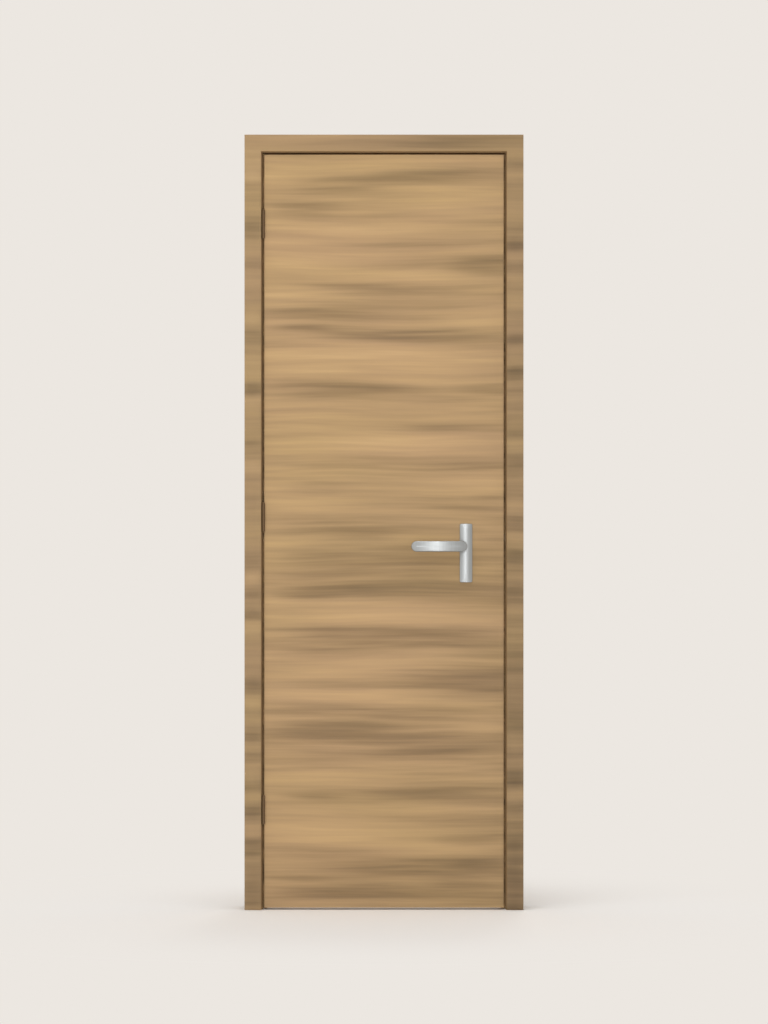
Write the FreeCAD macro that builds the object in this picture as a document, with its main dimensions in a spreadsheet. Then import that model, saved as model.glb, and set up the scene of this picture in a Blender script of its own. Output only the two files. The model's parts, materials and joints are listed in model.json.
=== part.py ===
import FreeCAD, Part
import math
import os
import re
import Sketcher

doc = FreeCAD.newDocument("FlushDoor")
sheet = doc.addObject("Spreadsheet::Sheet", "Sizes")

# Driving sizes in millimetres, each named once.
SIZES = (
    ("leaf_width", 645.0, "width of the leaf at its front face"),
    ("leaf_height", 2030.0, "height of the leaf"),
    ("leaf_thickness", 40.0, "thickness of the leaf"),
    ("edge_bevel", 2.0, "how much narrower the leaf is at its back face"),
    ("skin_thickness", 3.0, "facing sheet on each side"),
    ("stile_width", 35.0, "hinge and lock stiles inside the leaf"),
    ("rail_height", 35.0, "top and bottom rails inside the leaf"),
    ("block_width", 140.0, "lock block beside the lock stile"),
    ("block_height", 450.0, "height of the lock block"),
    ("cell_across", 90.0, "clear width of one honeycomb cell"),
    ("cell_wall", 1.5, "wall between two cells"),
    ("side_gap", 5.3, "gap between the leaf and each jamb"),
    ("top_gap", 5.3, "gap between the leaf and the head jamb"),
    ("floor_gap", 5.5, "gap under the leaf"),
    ("stop_gap", 5.0, "gap between the back of the leaf and the stops"),
    ("jamb_thickness", 22.0, "thickness of the jambs"),
    ("jamb_depth", 100.0, "depth of the jambs through the wall"),
    ("stop_thickness", 12.0, "how far the stops stand into the opening"),
    ("stop_width", 35.0, "width of the stops through the wall"),
    ("stop_chamfer", 1.0, "chamfer on the corners of the stops"),
    ("casing_width", 45.0, "face width of the casings"),
    ("casing_thickness", 12.0, "thickness of the casings"),
    ("casing_reveal", 3.0, "strip of jamb edge left clear by the casings"),
    ("casing_round", 2.0, "rounded corners of the casings"),
    ("knuckle_stand", 0.25, "hinge knuckles in front of the face of the leaf"),
    ("plate_thickness", 1.6, "hinge plates"),
    ("hinge_height", 76.0, "height of one hinge"),
    ("hinge_reach", 34.5, "hinge plates back from the pin"),
    ("knuckle_gap", 0.3, "running gap between two knuckles"),
    ("pin_radius", 2.2, "hinge pin"),
    ("pin_clearance", 0.08, "radial running gap round the pin"),
    ("pin_head", 3.0, "height of the head of the pin"),
    ("pin_head_radius", 3.4, "radius of the head of the pin"),
    ("pin_tip", 1.5, "pin below the lowest knuckle"),
    ("pin_bevel", 0.6, "bevel at both ends of the pin"),
    ("hinge_low", 225.0, "lowest hinge above the bottom of the leaf"),
    ("hinge_top_drop", 226.0, "top of the leaf down to the bottom of the top hinge"),
    ("spindle_height", 974.5, "spindle above the bottom of the leaf"),
    ("backset", 106.3, "spindle back from the lock edge"),
    ("spindle_side", 7.0, "side of the square spindle"),
    ("spindle_clearance", 0.1, "gap on each side of the spindle"),
    ("socket_depth", 30.0, "square socket in each lever"),
    ("socket_spare", 1.0, "room past each end of the spindle"),
    ("grip_plate_width", 34.0, "width of the long plate"),
    ("grip_plate_height", 158.0, "height of the long plate"),
    ("grip_plate_below", 97.5, "long plate below the spindle"),
    ("grip_plate_shift", 5.0, "middle of the long plate from the spindle towards the lock edge"),
    ("grip_plate_edge", 2.4, "thickness of the long plate at its edges"),
    ("grip_plate_crown", 5.0, "thickness of the long plate in the middle"),
    ("grip_plate_round", 4.0, "rounded corners of the long plate"),
    ("neck_radius", 6.2, "neck of the lever"),
    ("neck_clearance", 0.4, "gap round the neck in the long plate"),
    ("lever_reach", 143.0, "free end of the lever from the spindle"),
    ("lever_heel", 0.3, "lever past its neck on the lock side"),
    ("lever_height", 28.5, "height of the lever bar"),
    ("lever_thickness", 11.0, "thickness of the lever bar"),
    ("lever_standoff", 42.0, "lever bar from the face of the leaf"),
    ("lever_bow", 300.0, "radius of the bow of the lever"),
    ("lever_end_flat", 0.2, "flat left between the two end rounds"),
    ("skin_hole_radius", 10.0, "hole for the handle through the leaf"),
    ("case_thickness", 16.0, "latch case through the leaf"),
    ("case_wall", 1.5, "sheet of the latch case"),
    ("case_below", 25.0, "latch case below the spindle"),
    ("case_above", 50.0, "latch case above the spindle"),
    ("case_behind", 37.0, "latch case past the spindle"),
    ("case_clearance", 0.5, "gap round the latch case in the wood"),
    ("faceplate_thickness", 3.0, "latch faceplate"),
    ("faceplate_width", 22.0, "width of the faceplate"),
    ("faceplate_height", 130.0, "height of the faceplate"),
    ("faceplate_clearance", 0.2, "gap round the faceplate in the wood"),
    ("bolt_rise", 22.0, "middle of the bolt above the spindle"),
    ("bolt_height", 20.0, "height of the bolt head"),
    ("bolt_thickness", 12.0, "thickness of the bolt head"),
    ("bolt_throw", 12.0, "bolt head out of the faceplate"),
    ("bolt_nose", 3.0, "blunt nose of the bolt"),
    ("bolt_shoulder", 1.0, "straight part of the bolt before its bevel"),
    ("bolt_body", 20.0, "bolt head inside the case"),
    ("bolt_clearance", 0.5, "gap round the bolt"),
    ("tail_thickness", 6.0, "tail of the bolt and finger of the follower"),
    ("tail_rise", 13.0, "lower edge of the tail above the spindle"),
    ("tail_height", 12.0, "height of the tail"),
    ("tail_behind", 18.0, "tail past the spindle"),
    ("slot_pull", 3.0, "slot of the tail on the pulled side"),
    ("slot_free", 6.0, "slot of the tail on the free side"),
    ("slot_height", 8.0, "height of the slot in the tail"),
    ("follower_radius", 11.0, "disc of the follower"),
    ("hub_radius", 8.4, "hub of the follower"),
    ("hub_clearance", 0.1, "radial running gap round the hub"),
    ("hub_inset", 0.2, "hub short of the outside of the case"),
    ("finger_width", 5.0, "width of the finger"),
    ("finger_reach", 18.5, "tip of the finger from the spindle"),
    ("strike_thickness", 1.6, "strike plate"),
    ("strike_width", 32.0, "width of the strike plate"),
    ("strike_height", 70.0, "height of the strike plate"),
    ("strike_clearance", 1.5, "gap round the bolt in the strike"),
    ("strike_pocket", 12.0, "depth of the pocket behind the strike"),
)

for row, (name, value, meaning) in enumerate(SIZES, start=1):
    sheet.set("A%d" % row, meaning)
    sheet.set("B%d" % row, str(value))
    sheet.setAlias("B%d" % row, name)
doc.recompute()

ALIASES = re.compile(r"\b(%s)\b" % "|".join(name for name, value, meaning in SIZES))
X_AXIS = FreeCAD.Vector(1, 0, 0)
Y_AXIS = FreeCAD.Vector(0, 1, 0)
Z_AXIS = FreeCAD.Vector(0, 0, 1)
NEAR = 0.001
pieces = []


def formula(text):
    """An expression on the cells of the sheet."""
    return ALIASES.sub(r"Sizes.\1", text)


def number(text):
    """The present value of such an expression."""
    return float(sheet.evalExpression(formula(text)))


def place(item, along_x, along_y, along_z):
    """Bind the position of a sub-part to the sheet."""
    item.setExpression("Placement.Base.x", formula(along_x))
    item.setExpression("Placement.Base.y", formula(along_y))
    item.setExpression("Placement.Base.z", formula(along_z))


def keep(item, name):
    """Give a finished sub-part its own name."""
    item.Label = name
    pieces.append(item)
    return item


def new_body(name, along_x="0", along_y="0", along_z="0"):
    body = doc.addObject("PartDesign::Body", name)
    doc.recompute()
    place(body, along_x, along_y, along_z)
    return keep(body, name)


def new_sketch(body, role, suffix, offset=None):
    sketch = body.newObject("Sketcher::SketchObject", body.Name + "_" + suffix)
    for plane in body.Origin.OriginFeatures:
        if plane.Role == role:
            sketch.AttachmentSupport = (plane, [""])
    sketch.MapMode = "FlatFace"
    if offset is not None:
        sketch.setExpression("AttachmentOffset.Base.z", formula(offset))
    return sketch


def pin_point(sketch, item, end, along_x, along_y):
    """Tie one point of a sketch to the origin by two driven distances."""
    rule = sketch.addConstraint(Sketcher.Constraint("DistanceX", -1, 1, item, end, number(along_x)))
    sketch.setExpression("Constraints[%d]" % rule, formula(along_x))
    rule = sketch.addConstraint(Sketcher.Constraint("DistanceY", -1, 1, item, end, number(along_y)))
    sketch.setExpression("Constraints[%d]" % rule, formula(along_y))


def outline(sketch, points):
    """A closed outline. A point may name the radius of the arc that leaves it and its side."""
    count = len(points)
    spots = [FreeCAD.Vector(number(point[0]), number(point[1]), 0) for point in points]
    first = sketch.GeometryCount
    ends = []
    for index, point in enumerate(points):
        start = spots[index]
        finish = spots[(index + 1) % count]
        if len(point) == 2:
            sketch.addGeometry(Part.LineSegment(start, finish), False)
            ends.append((1, 2))
            continue
        radius = number(point[2])
        chord = finish - start
        half = chord.Length / 2
        normal = FreeCAD.Vector(-chord.y, chord.x, 0).normalize()
        centre = start + chord * 0.5 + normal * (point[3] * math.sqrt(radius ** 2 - half ** 2))
        if point[3] > 0:
            from_point = start
            to_point = finish
            ends.append((1, 2))
        else:
            from_point = finish
            to_point = start
            ends.append((2, 1))
        from_angle = math.atan2(from_point.y - centre.y, from_point.x - centre.x)
        to_angle = math.atan2(to_point.y - centre.y, to_point.x - centre.x)
        circle = Part.Circle(centre, Z_AXIS, radius)
        sketch.addGeometry(Part.ArcOfCircle(circle, from_angle, to_angle), False)
        rule = sketch.addConstraint(Sketcher.Constraint("Radius", first + index, radius))
        sketch.setExpression("Constraints[%d]" % rule, formula(point[2]))
    for index in range(count):
        after = (index + 1) % count
        link = (first + index, ends[index][1], first + after, ends[after][0])
        sketch.addConstraint(Sketcher.Constraint("Coincident", *link))
    for index, point in enumerate(points):
        pin_point(sketch, first + index, ends[index][0], point[0], point[1])


def rectangle(sketch, left, right, low, high):
    outline(sketch, [(left, low), (right, low), (right, high), (left, high)])


def circle(sketch, along_x, along_y, radius):
    centre = FreeCAD.Vector(number(along_x), number(along_y), 0)
    item = sketch.addGeometry(Part.Circle(centre, Z_AXIS, number(radius)), False)
    rule = sketch.addConstraint(Sketcher.Constraint("Radius", item, number(radius)))
    sketch.setExpression("Constraints[%d]" % rule, formula(radius))
    pin_point(sketch, item, 3, along_x, along_y)


def pad(body, sketch, length, reverse=False, both=False):
    feature = body.newObject("PartDesign::Pad", sketch.Name + "_pad")
    feature.Profile = sketch
    feature.setExpression("Length", formula(length))
    feature.Reversed = reverse
    if both:
        feature.SideType = "Symmetric"
    doc.recompute()
    return feature


def pocket(body, sketch, length=None, reverse=False, both=False):
    """Cut to a length, or right through, and see that something was cut."""
    before = body.Shape.Volume
    feature = body.newObject("PartDesign::Pocket", sketch.Name + "_cut")
    feature.Profile = sketch
    if length is None:
        feature.Type = "ThroughAll"
    else:
        feature.setExpression("Length", formula(length))
    feature.Reversed = reverse
    if both:
        feature.SideType = "Symmetric"
    doc.recompute()
    if body.Shape.Volume > before - NEAR:
        raise RuntimeError(feature.Name + " cuts nothing")
    return feature


def find_edges(feature, test):
    """Names of the edges whose middle and direction pass the test."""
    names = []
    for index, edge in enumerate(feature.Shape.Edges, start=1):
        middle = edge.valueAt((edge.FirstParameter + edge.LastParameter) / 2)
        heading = edge.tangentAt((edge.FirstParameter + edge.LastParameter) / 2)
        if test(middle, heading):
            names.append("Edge%d" % index)
    if not names:
        raise RuntimeError(feature.Name + " has no such edges")
    return names


def dress(body, kind, feature, names, size_property, size):
    """A fillet or a chamfer on named edges."""
    item = body.newObject("PartDesign::" + kind, body.Name + "_" + kind.lower())
    item.Base = (feature, names)
    item.setExpression(size_property, formula(size))
    doc.recompute()
    return item


def parallel(heading, axis):
    return abs(heading.dot(axis)) > 1 - NEAR


def level(value, target):
    return abs(value - number(target)) < NEAR


def box(name, length, width, height, along_x, along_y, along_z):
    item = doc.addObject("Part::Box", name)
    item.setExpression("Length", formula(length))
    item.setExpression("Width", formula(width))
    item.setExpression("Height", formula(height))
    place(item, along_x, along_y, along_z)
    return item


# Lines that several pieces share. The origin lies on the wall face of the hinge jamb, at the floor,
# in the middle of its depth. The front of the door looks along -Y.
JAMB_FRONT = "(-jamb_depth / 2)"
JAMB_BACK = "(jamb_depth / 2)"
OPEN_LEFT = "jamb_thickness"
LEAF_LEFT = "(jamb_thickness + side_gap)"
LEAF_RIGHT = "(jamb_thickness + side_gap + leaf_width)"
OPEN_RIGHT = "(jamb_thickness + 2 * side_gap + leaf_width)"
OUTER_RIGHT = "(2 * jamb_thickness + 2 * side_gap + leaf_width)"
OPEN_TOP = "(floor_gap + leaf_height + top_gap)"
OUTER_TOP = "(floor_gap + leaf_height + top_gap + jamb_thickness)"
LEAF_BACK = "(-jamb_depth / 2 + leaf_thickness)"
LEAF_MIDDLE = "(-jamb_depth / 2 + leaf_thickness / 2)"
SPINDLE_X = "(jamb_thickness + side_gap + leaf_width - backset)"
SPINDLE_Z = "(floor_gap + spindle_height)"
HINGE_BASES = {
    "low": "hinge_low",
    "middle": "((hinge_low + leaf_height - hinge_top_drop) / 2)",
    "top": "(leaf_height - hinge_top_drop)",
}

# The knuckles fill the gap between the jamb and the leaf, from plate to plate.
KNUCKLE = "(side_gap / 2 + plate_thickness)"
PIN_X = "(jamb_thickness + side_gap / 2)"
PIN_Y = "(-jamb_depth / 2 - knuckle_stand - side_gap / 2 - plate_thickness)"
HINGE_BACK = "(hinge_reach - knuckle_stand - side_gap / 2 - plate_thickness)"

# Jambs. Each side jamb is drawn from its inner face, so that its mortises start there.
hinge_jamb = new_body("hinge_jamb", OPEN_LEFT, JAMB_FRONT)
sketch = new_sketch(hinge_jamb, "XY_Plane", "plan")
rectangle(sketch, "-jamb_thickness", "0", "0", "jamb_depth")
pad(hinge_jamb, sketch, OUTER_TOP)
sketch = new_sketch(hinge_jamb, "YZ_Plane", "mortises")
for base in HINGE_BASES.values():
    low = "(floor_gap + %s)" % base
    rectangle(sketch, "0", HINGE_BACK, low, low + " + hinge_height")
pocket(hinge_jamb, sketch, "plate_thickness")

STRIKE_FRONT = "(leaf_thickness / 2 - strike_width / 2)"
STRIKE_BACK = "(leaf_thickness / 2 + strike_width / 2)"
STRIKE_LOW = "(floor_gap + spindle_height + bolt_rise - strike_height / 2)"
STRIKE_HIGH = "(floor_gap + spindle_height + bolt_rise + strike_height / 2)"
HOLE_FRONT = "(leaf_thickness / 2 - bolt_thickness / 2 - strike_clearance)"
HOLE_BACK = "(leaf_thickness / 2 + bolt_thickness / 2 + strike_clearance)"
HOLE_LOW = "(floor_gap + spindle_height + bolt_rise - bolt_height / 2 - strike_clearance)"
HOLE_HIGH = "(floor_gap + spindle_height + bolt_rise + bolt_height / 2 + strike_clearance)"
lock_jamb = new_body("lock_jamb", OPEN_RIGHT, JAMB_FRONT)
sketch = new_sketch(lock_jamb, "XY_Plane", "plan")
rectangle(sketch, "0", "jamb_thickness", "0", "jamb_depth")
pad(lock_jamb, sketch, OUTER_TOP)
sketch = new_sketch(lock_jamb, "YZ_Plane", "strike_seat")
rectangle(sketch, STRIKE_FRONT, STRIKE_BACK, STRIKE_LOW, STRIKE_HIGH)
pocket(lock_jamb, sketch, "strike_thickness", reverse=True)
sketch = new_sketch(lock_jamb, "YZ_Plane", "bolt_hole")
rectangle(sketch, HOLE_FRONT, HOLE_BACK, HOLE_LOW, HOLE_HIGH)
pocket(lock_jamb, sketch, "strike_thickness + strike_pocket", reverse=True)

strike_plate = new_body("strike_plate", OPEN_RIGHT, JAMB_FRONT)
sketch = new_sketch(strike_plate, "YZ_Plane", "face")
rectangle(sketch, STRIKE_FRONT, STRIKE_BACK, STRIKE_LOW, STRIKE_HIGH)
rectangle(sketch, HOLE_FRONT, HOLE_BACK, HOLE_LOW, HOLE_HIGH)
pad(strike_plate, sketch, "strike_thickness")

head_jamb = box("head_jamb", OPEN_RIGHT + " - " + OPEN_LEFT, "jamb_depth", "jamb_thickness",
                OPEN_LEFT, JAMB_FRONT, OPEN_TOP)
keep(head_jamb, "head_jamb")


# Stops, planted on the jambs behind the leaf, with small chamfers towards the opening.
def side_stop(name, wall, inner):
    body = new_body(name, wall, LEAF_BACK + " + stop_gap")
    drawing = new_sketch(body, "XY_Plane", "plan")
    if inner.startswith("-"):
        rectangle(drawing, inner, "0", "0", "stop_width")
    else:
        rectangle(drawing, "0", inner, "0", "stop_width")
    solid = pad(body, drawing, OPEN_TOP)
    names = find_edges(solid, lambda middle, heading: parallel(heading, Z_AXIS) and level(middle.x, inner))
    dress(body, "Chamfer", solid, names, "Size", "stop_chamfer")


side_stop("hinge_stop", OPEN_LEFT, "stop_thickness")
side_stop("lock_stop", OPEN_RIGHT, "-stop_thickness")
head_stop = new_body("head_stop", OPEN_LEFT + " + stop_thickness", LEAF_BACK + " + stop_gap", OPEN_TOP)
sketch = new_sketch(head_stop, "YZ_Plane", "section")
rectangle(sketch, "0", "stop_width", "-stop_thickness", "0")
solid = pad(head_stop, sketch, OPEN_RIGHT + " - " + OPEN_LEFT + " - 2 * stop_thickness")
STOP_EDGE = "-stop_thickness"
names = find_edges(solid, lambda middle, heading: parallel(heading, X_AXIS) and level(middle.z, STOP_EDGE))
dress(head_stop, "Chamfer", solid, names, "Size", "stop_chamfer")


# Casings, mitred at the top corners, with their two long front edges rounded.
IN_LEFT = "(jamb_thickness - casing_reveal)"
OUT_LEFT = "(jamb_thickness - casing_reveal - casing_width)"
IN_RIGHT = "(jamb_thickness + 2 * side_gap + leaf_width + casing_reveal)"
OUT_RIGHT = "(jamb_thickness + 2 * side_gap + leaf_width + casing_reveal + casing_width)"
IN_TOP = "(floor_gap + leaf_height + top_gap + casing_reveal)"
OUT_TOP = "(floor_gap + leaf_height + top_gap + casing_reveal + casing_width)"
CASINGS = {
    "hinge_side": ([(OUT_LEFT, "0"), (IN_LEFT, "0"), (IN_LEFT, IN_TOP), (OUT_LEFT, OUT_TOP)], Z_AXIS),
    "lock_side": ([(IN_RIGHT, "0"), (OUT_RIGHT, "0"), (OUT_RIGHT, OUT_TOP), (IN_RIGHT, IN_TOP)], Z_AXIS),
    "head": ([(IN_LEFT, IN_TOP), (IN_RIGHT, IN_TOP), (OUT_RIGHT, OUT_TOP), (OUT_LEFT, OUT_TOP)], X_AXIS),
}


def casing(name, points, run, depth, face):
    body = new_body(name, "0", depth)
    drawing = new_sketch(body, "XZ_Plane", "face")
    outline(drawing, points)
    solid = pad(body, drawing, "casing_thickness")
    names = find_edges(solid, lambda middle, heading: parallel(heading, run) and level(middle.y, face))
    dress(body, "Fillet", solid, names, "Radius", "casing_round")


for side, (points, run) in CASINGS.items():
    casing("front_casing_" + side, points, run, JAMB_FRONT, "-casing_thickness")
    casing("back_casing_" + side, points, run, JAMB_BACK + " + casing_thickness", "0")


# Leaf. Its pieces are drawn from the front bottom corner on the hinge side.
SKIN_BACK = "(leaf_thickness - skin_thickness)"
LOCK_INNER = "(leaf_width - stile_width)"
BLOCK_INNER = "(leaf_width - stile_width - block_width)"
BLOCK_LOW = "(spindle_height - block_height / 2)"
BLOCK_HIGH = "(spindle_height + block_height / 2)"
AXIS_IN = "(leaf_width - backset)"
CASE_FRONT = "(leaf_thickness / 2 - case_thickness / 2)"
CASE_BACK = "(leaf_thickness / 2 + case_thickness / 2)"
CASE_LOW = "(spindle_height - case_below)"
CASE_HIGH = "(spindle_height + case_above)"
CASE_END = "(leaf_width - backset - case_behind)"
FACE_LOW = "(spindle_height + (case_above - case_below - faceplate_height) / 2)"
FACE_FRONT = "(leaf_thickness / 2 - faceplate_width / 2)"
FACE_REAR = "(leaf_thickness / 2 + faceplate_width / 2)"


def edge_at(depth):
    """Where the bevelled lock edge lies at some depth behind the front face."""
    return "(leaf_width - edge_bevel * %s / leaf_thickness)" % depth


CASE_MOUTH = "(%s - faceplate_thickness)" % edge_at(CASE_BACK)


def leaf_body(name):
    return new_body(name, LEAF_LEFT, JAMB_FRONT, "floor_gap")


def hinge_mortises(body):
    drawing = new_sketch(body, "YZ_Plane", "mortises")
    for low in HINGE_BASES.values():
        rectangle(drawing, "0", HINGE_BACK, low, low + " + hinge_height")
    pocket(body, drawing, "plate_thickness", reverse=True)


def handle_hole(body):
    drawing = new_sketch(body, "XZ_Plane", "handle_hole")
    circle(drawing, AXIS_IN, "spindle_height", "skin_hole_radius")
    pocket(body, drawing)


def skin(name, front, rear):
    body = leaf_body(name)
    drawing = new_sketch(body, "XY_Plane", "plan")
    outline(drawing, [("0", front), (edge_at(front), front), (edge_at(rear), rear), ("0", rear)])
    pad(body, drawing, "leaf_height")
    handle_hole(body)
    return body


front_skin = skin("front_skin", "0", "skin_thickness")
hinge_mortises(front_skin)
back_skin = skin("back_skin", SKIN_BACK, "leaf_thickness")

hinge_stile = leaf_body("hinge_stile")
sketch = new_sketch(hinge_stile, "XY_Plane", "plan")
rectangle(sketch, "0", "stile_width", "skin_thickness", SKIN_BACK)
pad(hinge_stile, sketch, "leaf_height")
hinge_mortises(hinge_stile)

lock_stile = leaf_body("lock_stile")
sketch = new_sketch(lock_stile, "XY_Plane", "plan")
outline(sketch, [
    (LOCK_INNER, "skin_thickness"),
    (edge_at("skin_thickness"), "skin_thickness"),
    (edge_at(SKIN_BACK), SKIN_BACK),
    (LOCK_INNER, SKIN_BACK),
])
pad(lock_stile, sketch, "leaf_height")
sketch = new_sketch(lock_stile, "YZ_Plane", "case_mortise")
rectangle(sketch, CASE_FRONT + " - case_clearance", CASE_BACK + " + case_clearance",
          CASE_LOW + " - case_clearance", CASE_HIGH + " + case_clearance")
pocket(lock_stile, sketch, reverse=True)
sketch = new_sketch(lock_stile, "XY_Plane", "faceplate_seat", FACE_LOW + " - faceplate_clearance")
SEAT_FRONT = "(%s - faceplate_clearance)" % FACE_FRONT
SEAT_REAR = "(%s + faceplate_clearance)" % FACE_REAR
outline(sketch, [
    (edge_at(SEAT_FRONT) + " - faceplate_thickness", SEAT_FRONT),
    (edge_at(SEAT_FRONT) + " + faceplate_thickness", SEAT_FRONT),
    (edge_at(SEAT_REAR) + " + faceplate_thickness", SEAT_REAR),
    (edge_at(SEAT_REAR) + " - faceplate_thickness", SEAT_REAR),
])
pocket(lock_stile, sketch, "faceplate_height + 2 * faceplate_clearance", reverse=True)


def rail(name, low):
    item = box(name, "leaf_width - 2 * stile_width", "leaf_thickness - 2 * skin_thickness", "rail_height",
               LEAF_LEFT + " + stile_width", JAMB_FRONT + " + skin_thickness", low)
    keep(item, name)


rail("bottom_rail", "floor_gap")
rail("top_rail", "floor_gap + leaf_height - rail_height")

lock_block = leaf_body("lock_block")
sketch = new_sketch(lock_block, "XY_Plane", "plan", BLOCK_LOW)
rectangle(sketch, BLOCK_INNER, LOCK_INNER, "skin_thickness", SKIN_BACK)
pad(lock_block, sketch, "block_height")
sketch = new_sketch(lock_block, "YZ_Plane", "case_mortise", CASE_END + " - case_clearance")
rectangle(sketch, CASE_FRONT + " - case_clearance", CASE_BACK + " + case_clearance",
          CASE_LOW + " - case_clearance", CASE_HIGH + " + case_clearance")
pocket(lock_block, sketch, reverse=True)
handle_hole(lock_block)


# Honeycomb core: one sheet with six-sided cells, cut back round the lock block, as deep as the stiles.
CELL_SIDES = 6


def flat_box(left, right, low, high):
    corners = [(left, low), (right, low), (right, high), (left, high), (left, low)]
    wire = Part.makePolygon([FreeCAD.Vector(along, 0, up) for along, up in corners])
    return Part.Face(wire)


def honeycomb():
    wall = number("cell_wall")
    across = number("cell_across")
    left = number("stile_width")
    right = number(LOCK_INNER)
    low = number("rail_height")
    high = number("leaf_height - rail_height")
    inner = number(BLOCK_INNER)
    block_low = number(BLOCK_LOW)
    block_high = number(BLOCK_HIGH)
    sheet_face = flat_box(left, right, low, high).cut(flat_box(inner, right, block_low, block_high))
    inside = flat_box(left + wall, right - wall, low + wall, high - wall)
    inside = inside.cut(flat_box(inner - wall, right, block_low - wall, block_high + wall))
    step = across + wall
    lean = math.cos(math.pi / CELL_SIDES)
    rise = step * lean
    corner = across / 2 / lean
    cells = []
    row = 0
    up = low
    while up < high + step:
        along = left + (row % 2) * step / 2
        while along < right + step:
            spots = []
            for turn in range(CELL_SIDES + 1):
                angle = math.pi * (2 * turn + 1) / CELL_SIDES
                reach = FreeCAD.Vector(corner * math.cos(angle), 0, corner * math.sin(angle))
                spots.append(FreeCAD.Vector(along, 0, up) + reach)
            cells.append(Part.Face(Part.makePolygon(spots)))
            along += step
        row += 1
        up += rise
    holes = []
    for cell in cells:
        for face in cell.common(inside).Faces:
            if face.Area > wall * across:
                holes.append(face)
    walls = sheet_face.cut(holes)
    solid = walls.extrude(Y_AXIS * number("leaf_thickness - 2 * skin_thickness"))
    return solid.Solids[0]


honeycomb_core = doc.addObject("Part::Feature", "honeycomb_core")
honeycomb_core.Shape = honeycomb()
place(honeycomb_core, LEAF_LEFT, JAMB_FRONT + " + skin_thickness", "floor_gap")
keep(honeycomb_core, "honeycomb_core")


# Hinges: five knuckles on one pin, three on the jamb plate and two on the leaf plate.
KNUCKLES = 5
ON_JAMB = (1, 3)
ON_LEAF = (0, 2, 4)
KNUCKLE_CLEAR = "(%s + knuckle_gap)" % KNUCKLE


def hinge_plate(name, base, edges, open_knuckles):
    body = new_body(name, PIN_X, PIN_Y, "floor_gap + " + base)
    drawing = new_sketch(body, "XY_Plane", "plate")
    rectangle(drawing, edges[0], edges[1], "0", "hinge_reach")
    pad(body, drawing, "hinge_height")
    drawing = new_sketch(body, "XY_Plane", "knuckles")
    circle(drawing, "0", "0", KNUCKLE)
    circle(drawing, "0", "0", "pin_radius + pin_clearance")
    pad(body, drawing, "hinge_height")
    drawing = new_sketch(body, "YZ_Plane", "gaps")
    for knuckle in open_knuckles:
        low = "%d * hinge_height / %d - knuckle_gap / 2" % (knuckle, KNUCKLES)
        high = "%d * hinge_height / %d + knuckle_gap / 2" % (knuckle + 1, KNUCKLES)
        rectangle(drawing, "-" + KNUCKLE_CLEAR, KNUCKLE_CLEAR, low, high)
    pocket(body, drawing, "2 * " + KNUCKLE_CLEAR, both=True)


def hinge_pin(name, base):
    body = new_body(name, PIN_X, PIN_Y, "floor_gap + " + base)
    drawing = new_sketch(body, "XZ_Plane", "profile")
    outline(drawing, [
        ("0", "-pin_tip"),
        ("pin_radius - pin_bevel", "-pin_tip"),
        ("pin_radius", "pin_bevel - pin_tip"),
        ("pin_radius", "hinge_height"),
        ("pin_head_radius", "hinge_height"),
        ("pin_head_radius", "hinge_height + pin_head - pin_bevel"),
        ("pin_head_radius - pin_bevel", "hinge_height + pin_head"),
        ("0", "hinge_height + pin_head"),
    ])
    feature = body.newObject("PartDesign::Revolution", name + "_turned")
    feature.Profile = drawing
    feature.ReferenceAxis = (drawing, ["V_Axis"])
    feature.Angle = 360
    doc.recompute()


JAMB_SIDE = ("-" + KNUCKLE, "-side_gap / 2")
LEAF_SIDE = ("side_gap / 2", KNUCKLE)
for spot, base in HINGE_BASES.items():
    hinge_plate("hinge_jamb_plate_" + spot, base, JAMB_SIDE, ON_JAMB)
    hinge_plate("hinge_leaf_plate_" + spot, base, LEAF_SIDE, ON_LEAF)
    hinge_pin("hinge_pin_" + spot, base)


# Handles: a long plate and a bowed lever on each face, joined by one square spindle.
GRIP_RADIUS = ("(((grip_plate_width / 2) ^ 2 + (grip_plate_crown - grip_plate_edge) ^ 2)"
               " / (2 * (grip_plate_crown - grip_plate_edge)))")
LEVER_RIGHT = "(neck_radius + lever_heel)"
SQUARE_HALF = "(spindle_side / 2 + spindle_clearance)"


def signed(side, text):
    """A distance out of the leaf: the front faces -Y and the back +Y."""
    if side < 0:
        return "(-(%s))" % text
    return "(%s)" % text


def grip_plate(name, face, side):
    body = new_body(name, SPINDLE_X + " + grip_plate_shift", face, SPINDLE_Z)
    drawing = new_sketch(body, "XY_Plane", "section", "-grip_plate_below")
    edge = signed(side, "grip_plate_edge")
    outline(drawing, [
        ("-grip_plate_width / 2", "0"),
        ("grip_plate_width / 2", "0"),
        ("grip_plate_width / 2", edge, GRIP_RADIUS, side),
        ("-grip_plate_width / 2", edge),
    ])
    solid = pad(body, drawing, "grip_plate_height")
    names = find_edges(solid, lambda middle, heading: parallel(heading, Y_AXIS))
    dress(body, "Fillet", solid, names, "Radius", "grip_plate_round")
    drawing = new_sketch(body, "XZ_Plane", "neck_hole")
    circle(drawing, "-grip_plate_shift", "0", "neck_radius + neck_clearance")
    pocket(body, drawing, reverse=side < 0)


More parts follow.
